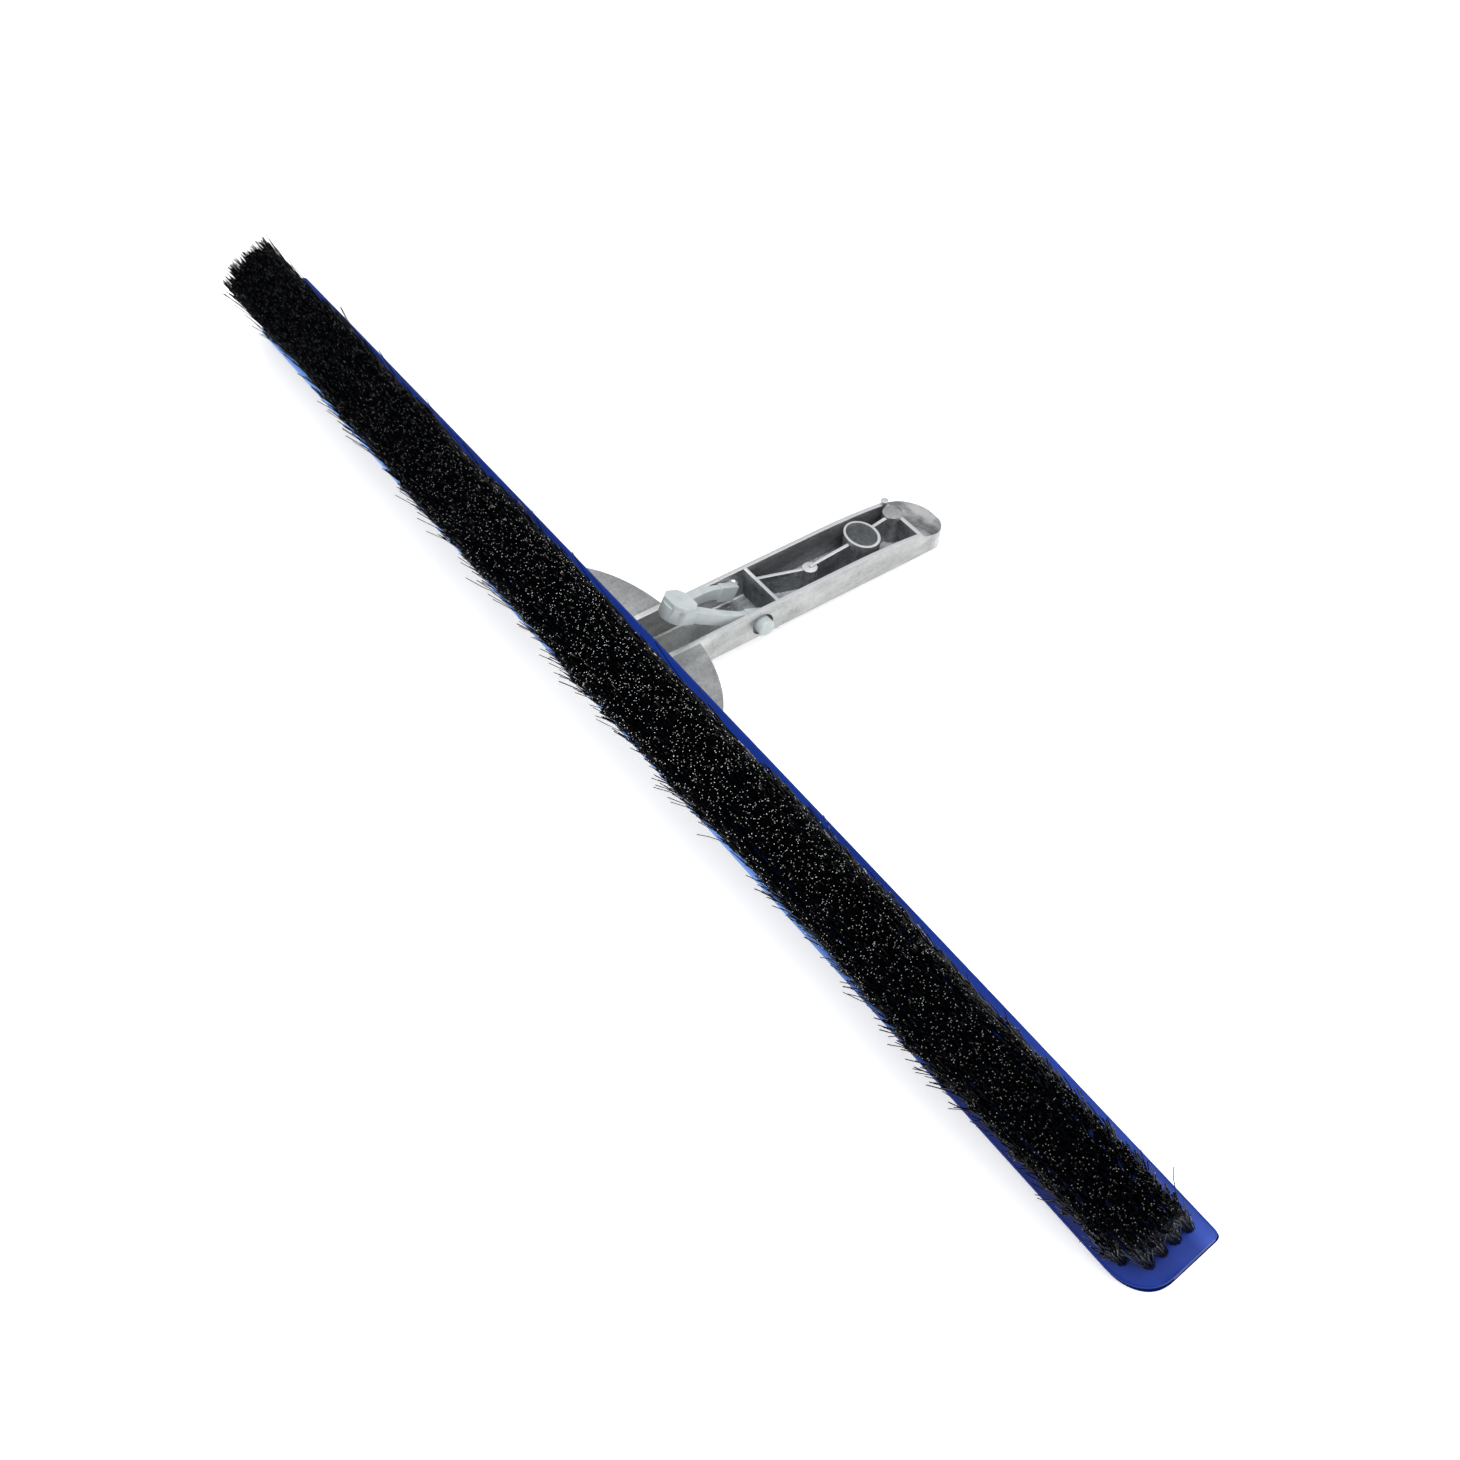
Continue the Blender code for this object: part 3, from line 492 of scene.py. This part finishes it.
def bristleTree():
    tree = Fields("bristle_row", [
        ("Reach", 'NodeSocketFloat'), ("Row", 'NodeSocketFloat'), ("Tufts", 'NodeSocketInt'),
        ("Bow", 'NodeSocketFloat'), ("Half Length", 'NodeSocketFloat'), ("Length", 'NodeSocketFloat'),
        ("Root Depth", 'NodeSocketFloat'), ("Filaments", 'NodeSocketInt'), ("Filament Radius", 'NodeSocketFloat'),
        ("Root Radius", 'NodeSocketFloat'), ("Tip Along", 'NodeSocketFloat'), ("Tip Across", 'NodeSocketFloat'),
        ("Row Spread", 'NodeSocketFloat'), ("Row Lean", 'NodeSocketFloat'), ("Side Lean", 'NodeSocketFloat'),
        ("End Lean", 'NodeSocketFloat'), ("Clump Lean", 'NodeSocketFloat'), ("Clump Scale", 'NodeSocketFloat'),
        ("Length Jitter", 'NodeSocketFloat'), ("Lean Jitter", 'NodeSocketFloat'),
        ("Stray Share", 'NodeSocketFloat'), ("Stray Lean", 'NodeSocketFloat'), ("Crimp", 'NodeSocketFloat'),
        ("Crimp Turns", 'NodeSocketFloat'), ("Segments", 'NodeSocketInt'), ("Glint Share", 'NodeSocketFloat'),
        ("Glint Thicker", 'NodeSocketFloat'), ("Glint Middle", 'NodeSocketFloat'), ("Glint Width", 'NodeSocketFloat'),
        ("Seed", 'NodeSocketInt'), ("Finish", 'NodeSocketMaterial')])
    get, m = tree.input, tree.math
    seed = get("Seed")

    # tufts stand on the bowed face, a filament for each copy of a tuft's point
    first = tree.combine(m('MULTIPLY', get("Reach"), -1.0), get("Row"), 0.0)
    last = tree.combine(get("Reach"), get("Row"), 0.0)
    line = tree.node("GeometryNodeMeshLine", {"mode": 'END_POINTS'},
                     {"Count": get("Tufts"), "Start Location": first, "Offset": last})
    points = tree.node("GeometryNodeMeshToPoints", {}, {"Mesh": line})
    points = tree.store(points, "tuftTurn", 'FLOAT', 'POINT', tree.random(0.0, 2 * math.pi, seed))
    points = tree.store(points, "tuftLeanX", 'FLOAT', 'POINT', tree.random(-0.4, 0.4, m('ADD', seed, 31)))
    points = tree.store(points, "tuftLeanY", 'FLOAT', 'POINT', tree.random(-0.4, 0.4, m('ADD', seed, 32)))
    copies = tree.tree.nodes.new("GeometryNodeDuplicateElements")
    copies.domain = 'POINT'
    tree.tree.links.new(points, copies.inputs["Geometry"])
    tree.tree.links.new(get("Filaments"), copies.inputs["Amount"])
    number = copies.outputs["Duplicate Index"]

    place = tree.node("GeometryNodeInputPosition")
    along = tree.node("ShaderNodeSeparateXYZ", {}, {0: place}, out=0)
    ratio = m('DIVIDE', along, get("Half Length"))
    squared = m('MULTIPLY', ratio, ratio)

    # even sunflower filling of each tuft
    share = m('DIVIDE', m('ADD', number, 0.5), get("Filaments"))
    outward = m('SQRT', share)
    turn = m('ADD', m('MULTIPLY', number, goldenAngle), tree.named("tuftTurn"))
    towards = tree.combine(m('COSINE', turn), m('SINE', turn), 0.0)
    rootOffset = tree.scaled(towards, m('MULTIPLY', outward, get("Root Radius")))
    stray = m('LESS_THAN', tree.random(0.0, 1.0, m('ADD', seed, 11)), get("Stray Share"))
    strayLean = m('MULTIPLY', stray, get("Stray Lean"))
    outOfRow = m('MULTIPLY', m('MULTIPLY', strayLean, m('SIGN', get("Row"))),
                 tree.random(0.3, 1.0, m('ADD', seed, 21)))
    alongRow = m('MULTIPLY', m('MULTIPLY', strayLean, 0.6), tree.random(-1.0, 1.0, m('ADD', seed, 22)))
    ragged = m('ADD', 1.0, m('MULTIPLY', m('POWER', m('ABSOLUTE', ratio), bristles["raggedPower"]),
                             bristles["raggedGain"]))
    loose = tree.combine(tree.random(-1.0, 1.0, m('ADD', seed, 12)), tree.random(-1.0, 1.0, m('ADD', seed, 13)), 0.0)
    jitter = tree.vector('ADD', tree.combine(alongRow, outOfRow, 0.0),
                         tree.scaled(loose, m('MULTIPLY', get("Lean Jitter"), ragged)))
    opening = tree.combine(m('SUBTRACT', get("Tip Along"), get("Root Radius")),
                           m('SUBTRACT', get("Tip Across"), get("Root Radius")), 0.0)
    flare = tree.vector('MULTIPLY', tree.scaled(towards, outward), opening)
    tuftLean = tree.scaled(tree.combine(tree.named("tuftLeanX"), tree.named("tuftLeanY"), 0.0), get("Lean Jitter"))

    # the whole brush has taken a set: over to one side in the middle, along +X at both ends, and in clumps
    sideways = m('ADD', m('MULTIPLY', get("Row"), get("Row Spread")),
                 m('MULTIPLY', m('SUBTRACT', get("Row Lean"), get("Side Lean")), m('SUBTRACT', 1.0, squared)))
    onwards = m('MULTIPLY', m('POWER', squared, bristles["endLeanPower"]), get("End Lean"))
    clump = tree.node("ShaderNodeTexNoise", {}, {"Vector": tree.combine(along, 0.0, 0.0), "Detail": 1.0,
                                                 "Scale": get("Clump Scale")}, out=1)
    clumpLean = tree.scaled(tree.vector('SUBTRACT', clump, (0.5, 0.5, 0.5)), m('MULTIPLY', get("Clump Lean"), 4.0))
    setLean = tree.vector('MULTIPLY', tree.vector('ADD', clumpLean, tree.combine(onwards, sideways, 0.0)),
                          (1.0, 1.0, 0.0))
    lean = tree.vector('ADD', tree.vector('ADD', flare, jitter), tree.vector('ADD', tuftLean, setLean))
    lengthShare = m('ADD', 1.0, m('DIVIDE', m('MULTIPLY', tree.random(-1.0, 1.0, m('ADD', seed, 14)),
                                               get("Length Jitter")), get("Length")))

    drop = m('MULTIPLY', squared, m('MULTIPLY', get("Bow"), -1.0))
    root = tree.vector('ADD', rootOffset, tree.combine(0.0, 0.0, m('SUBTRACT', drop, get("Root Depth"))))
    cloud = tree.store(copies.outputs["Geometry"], "lean", 'FLOAT_VECTOR', 'POINT', lean)
    cloud = tree.store(cloud, "lengthShare", 'FLOAT', 'POINT', lengthShare)
    cloud = tree.store(cloud, "phase", 'FLOAT', 'POINT', tree.random(0.0, 2 * math.pi, m('ADD', seed, 15)))
    cloud = tree.store(cloud, "waveTurn", 'FLOAT', 'POINT', tree.random(0.0, math.pi, m('ADD', seed, 16)))
    onOneSide = m('MULTIPLY', m('SIGN', get("Row")), bristles["strandHighlightSideMore"])
    rowWeight = m('MULTIPLY', get("Row"), m('ADD', bristles["strandHighlightSide"], onOneSide))
    outerSide = m('MAXIMUM', m('MULTIPLY', tree.node("ShaderNodeSeparateXYZ", {}, {0: towards}, out=1),
                               rowWeight), 0.0)
    endSide = m('MAXIMUM', m('MULTIPLY', tree.node("ShaderNodeSeparateXYZ", {}, {0: towards}, out=0),
                             m('MULTIPLY', m('POWER', squared, bristles["strandHighlightEndPower"]), bristles["strandHighlightEnd"])),
                0.0)
    away = m('DIVIDE', m('SUBTRACT', along, get("Glint Middle")), get("Glint Width"))
    falloff = m('POWER', 2.718, m('MULTIPLY', m('MULTIPLY', away, away), -1.0))
    catching = m('ADD', 0.2, m('MULTIPLY', falloff, 0.8))
    # painted highlight on the sides of a few filaments, kept as the "shade" attribute
    strandHighlight = m('POWER', tree.random(0.0, 1.0, m('ADD', seed, 17)), bristles["strandHighlightPower"])
    strandHighlight = m('MULTIPLY', strandHighlight, m('ADD', m('ADD', bristles["strandHighlightEverywhere"], endSide),
                                 m('MULTIPLY', outerSide, catching)))
    cloud = tree.store(cloud, "shade", 'FLOAT', 'POINT', m('MINIMUM', strandHighlight, 1.0))
    lit = m('LESS_THAN', tree.random(0.0, 1.0, m('ADD', seed, 18)), get("Glint Share"))
    brightness = tree.random(0.4, 1.0, m('ADD', seed, 19))
    tipLight = m('MULTIPLY', m('MULTIPLY', lit, catching), m('MULTIPLY', brightness, brightness))
    cloud = tree.store(cloud, "tipLight", 'FLOAT', 'POINT', tipLight)
    cloud = tree.node("GeometryNodeSetPosition", {}, {"Geometry": cloud, "Offset": root})

    # one straight filament, then bent by what its point says
    cylinder = tree.tree.nodes.new("GeometryNodeMeshCylinder")
    cylinder.fill_type = 'NGON'
    cylinder.inputs["Vertices"].default_value = 3
    tree.tree.links.new(get("Segments"), cylinder.inputs["Side Segments"])
    tree.tree.links.new(get("Filament Radius"), cylinder.inputs["Radius"])
    cylinder.inputs["Depth"].default_value = 1.0
    upright = tree.node("GeometryNodeSetPosition", {}, {"Geometry": cylinder.outputs["Mesh"],
                                                        "Offset": (0.0, 0.0, 0.5)})
    height = tree.node("ShaderNodeSeparateXYZ", {}, {0: tree.node("GeometryNodeInputPosition")}, out=2)
    upright = tree.store(upright, "along", 'FLOAT', 'POINT', height)
    upright = tree.store(upright, "tipFace", 'FLOAT', 'FACE', cylinder.outputs["Top"])
    flat = tree.vector('MULTIPLY', tree.node("GeometryNodeInputPosition"), (1.0, 1.0, 0.0))
    upright = tree.node("GeometryNodeSetPosition", {}, {"Geometry": upright, "Position": flat})
    spin = tree.combine(0.0, 0.0, tree.random(0.0, 2 * math.pi, m('ADD', seed, 20)))
    thicker = m('ADD', 1.0, m('MULTIPLY', m('GREATER_THAN', tree.named("tipLight"), 0.0), get("Glint Thicker")))
    placed = tree.node("GeometryNodeInstanceOnPoints", {}, {"Points": cloud, "Instance": upright,
                                                            "Rotation": spin, "Scale": thicker})
    solid = tree.node("GeometryNodeRealizeInstances", {}, {"Geometry": placed})
    t = tree.named("along")
    bend = m('POWER', t, bristles["bendPower"])
    rise = m('MULTIPLY', t, m('MULTIPLY', m('ADD', get("Length"), get("Root Depth")), tree.named("lengthShare")))
    turns = m('MULTIPLY', m('MULTIPLY', t, get("Crimp Turns")), 2 * math.pi)
    wave = m('MULTIPLY', m('SINE', m('ADD', tree.named("phase"), turns)), get("Crimp"))
    waveTowards = tree.combine(m('COSINE', tree.named("waveTurn")), m('SINE', tree.named("waveTurn")), 0.0)
    leaning = tree.named("lean", 'FLOAT_VECTOR')
    leanSquared = tree.vector('DOT_PRODUCT', leaning, leaning).node.outputs["Value"]
    sag = m('MULTIPLY', leanSquared, bristles["sagGain"])
    shift = tree.vector('ADD', tree.scaled(leaning, bend), tree.scaled(waveTowards, m('MULTIPLY', wave, t)))
    shift = tree.vector('ADD', shift, tree.combine(0.0, 0.0, m('SUBTRACT', rise, m('MULTIPLY', sag, t))))
    solid = tree.node("GeometryNodeSetPosition", {}, {"Geometry": solid, "Offset": shift})
    glint = m('MULTIPLY', tree.named("tipFace"), tree.named("tipLight"))
    solid = tree.store(solid, "glint", 'FLOAT', 'FACE', glint)
    for spare in ("tuftTurn", "tuftLeanX", "tuftLeanY", "lean", "lengthShare", "phase", "waveTurn", "tipLight",
                  "along", "tipFace"):
        solid = tree.node("GeometryNodeRemoveAttribute", {}, {"Geometry": solid, "Name": spare})
    finished = tree.node("GeometryNodeSetMaterial", {}, {"Geometry": solid, "Material": get("Finish")})
    tree.tree.links.new(finished, tree.end.inputs["Mesh"])
    return tree.tree


def makeBristleRow(number, tree):
    inset = bristles["sweptInset"] if number == 1 else bristles["endInset"]
    reach = half - inset
    tufts = 1 + round(2 * reach / bristles["tuftPitch"])
    values = {
        "Reach": reach, "Row": (number - (bristles["rows"] + 1) / 2) * bristles["rowPitch"], "Tufts": tufts,
        "Bow": block["bow"], "Half Length": half, "Length": bristles["length"],
        "Root Depth": bristles["rootDepth"], "Filaments": bristles["filaments"],
        "Filament Radius": bristles["filamentRadius"], "Root Radius": bristles["rootRadius"],
        "Tip Along": bristles["tipAlong"],
        "Tip Across": bristles["sideTipAcross" if number in (1, bristles["rows"]) else "tipAcross"],
        "Row Spread": bristles["rowSpread"], "Row Lean": bristles["outerRowLean"] if number == 1 else 0.0,
        "Side Lean": bristles["sideLean"], "End Lean": bristles["endLean"],
        "Clump Lean": bristles["clumpLean"], "Clump Scale": bristles["clumpScale"],
        "Length Jitter": bristles["lengthJitter"], "Lean Jitter": bristles["leanJitter"],
        "Stray Share": bristles["sideStrayShare" if number == 1 else "strayShare"],
        "Stray Lean": bristles["strayLean"], "Crimp": bristles["crimp"], "Crimp Turns": bristles["crimpTurns"],
        "Segments": bristles["segments"],
        "Glint Share": bristles["glintShare"], "Glint Thicker": bristles["glintThicker"],
        "Glint Middle": bristles["glintMiddle"], "Glint Width": bristles["glintWidth"],
        "Seed": 100 * number, "Finish": finishes["nylon"],
    }
    name = f"bristles_row_{number}"
    guide = bpy.data.objects.new(name, bpy.data.meshes.new(name))
    bpy.context.scene.collection.objects.link(guide)
    modifier = guide.modifiers.new("tufts", 'NODES')
    modifier.node_group = tree
    for item in tree.interface.items_tree:
        if item.in_out == 'INPUT':
            modifier[item.identifier] = values[item.name]
    mesh = evaluatedMesh(guide)
    mesh.transform(brushStand)
    replaced = [f"bristle_row_{number}", f"end_tuft_near_{number}", f"end_tuft_far_{number}"]
    finishPiece(name, mesh, finishes["nylon"], "brush", replaced, 50)
    print(name, tufts, "tufts,", len(mesh.polygons), "faces")


bristleNodes = bristleTree()
for row in range(1, bristles["rows"] + 1):
    makeBristleRow(row, bristleNodes)


# the cast handle, with softened edges and its channel painted darker as shade

handle = {"edge": 0.00035, "screws": 4, "screwEdge": 0.00012}


def makeHandle():
    mesh = roundedCopy("cast_handle", "handle_casting", handle["edge"])
    print("handle", len(mesh.polygons), "faces")
    finishPiece("cast_handle", mesh, finishes["casting"], "brush", ["handle_casting"], 40)


def makeScrew(number):
    name, nodeName = f"pan_screw_{number}", f"handle_screw_{number}"
    mesh = roundedCopy(name, nodeName, handle["screwEdge"])
    finishPiece(name, mesh, finishes["steel"], "brush", [nodeName])


makeHandle()
for number in range(1, handle["screws"] + 1):
    makeScrew(number)
print("handle and screws made")


# the spring clip

clip = {
    "edge": 0.0005, "edgeSteps": 3,
    "pieces": [("clip_bend", "clip_nose", "clip"), ("spring_arm_left", "clip_left_arm", "left_arm"),
               ("spring_arm_right", "clip_right_arm", "right_arm")],
}


def makeClipPiece(name, nodeName, body):
    mesh = roundedCopy(name, nodeName, clip["edge"], clip["edgeSteps"])
    finishPiece(name, mesh, finishes["milky"], body, [nodeName])


for name, nodeName, body in clip["pieces"]:
    makeClipPiece(name, nodeName, body)
print("clip made")


# floor, light and camera

camera = {
    "aim": (0.0616, -0.0555, 0.0350), "azimuth": -32.63, "elevation": 51.07, "distance": 0.680,
    "roll": 4.12, "lens": 45.42, "sensor": 36.0, "nearest": 0.01,
}
softboxes = [  # name, azimuth, elevation, distance, size, watts
    ("right_box", 10, 60, 2.2, 1.8, 44),
    ("front_box", -75, 62, 2.2, 1.6, 14),
    ("left_strip", 238, 14, 1.5, 0.5, 5),
]
studio = {"floorReach": 6.0, "skyColour": (0.95, 0.97, 1.0, 1), "skyStrength": 0.66}


def around(azimuth, elevation, distance):
    a, e = math.radians(azimuth), math.radians(elevation)
    return distance * Vector((math.cos(e) * math.cos(a), math.cos(e) * math.sin(a), math.sin(e)))


def lookAt(obj, place, aim, roll=0.0):
    turn = (Vector(aim) - place).to_track_quat('-Z', 'Y').to_matrix().to_4x4()
    obj.matrix_world = Matrix.Translation(place) @ turn @ Matrix.Rotation(-math.radians(roll), 4, 'Z')


def makeCamera():
    data = bpy.data.cameras.new("view")
    data.lens = camera["lens"]
    data.sensor_width = camera["sensor"]
    data.clip_start = camera["nearest"]
    obj = bpy.data.objects.new("view", data)
    bpy.context.scene.collection.objects.link(obj)
    aim = Vector(camera["aim"])
    lookAt(obj, aim + around(camera["azimuth"], camera["elevation"], camera["distance"]), aim, camera["roll"])
    bpy.context.scene.camera = obj


def makeFloor():
    bm = bmesh.new()
    bmesh.ops.create_grid(bm, x_segments=1, y_segments=1, size=studio["floorReach"])
    floor = bpy.data.objects.new("floor", toMesh("floor", bm))
    floor.data.materials.append(finishes["floor"])
    bpy.context.scene.collection.objects.link(floor)


def makeLights():
    for name, azimuth, elevation, distance, size, watts in softboxes:
        light = bpy.data.lights.new(name, 'AREA')
        light.shape = 'SQUARE'
        light.size = size
        light.energy = watts
        obj = bpy.data.objects.new(name, light)
        bpy.context.scene.collection.objects.link(obj)
        lookAt(obj, around(azimuth, elevation, distance), (0, 0, 0))
    world = bpy.data.worlds.new("studio")
    world.use_nodes = True
    sky = world.node_tree.nodes["Background"]
    sky.inputs["Color"].default_value = studio["skyColour"]
    sky.inputs["Strength"].default_value = studio["skyStrength"]
    bpy.context.scene.world = world
    bpy.context.scene.view_settings.view_transform = 'Standard'


makeCamera()
makeFloor()
makeLights()
print("stage made")
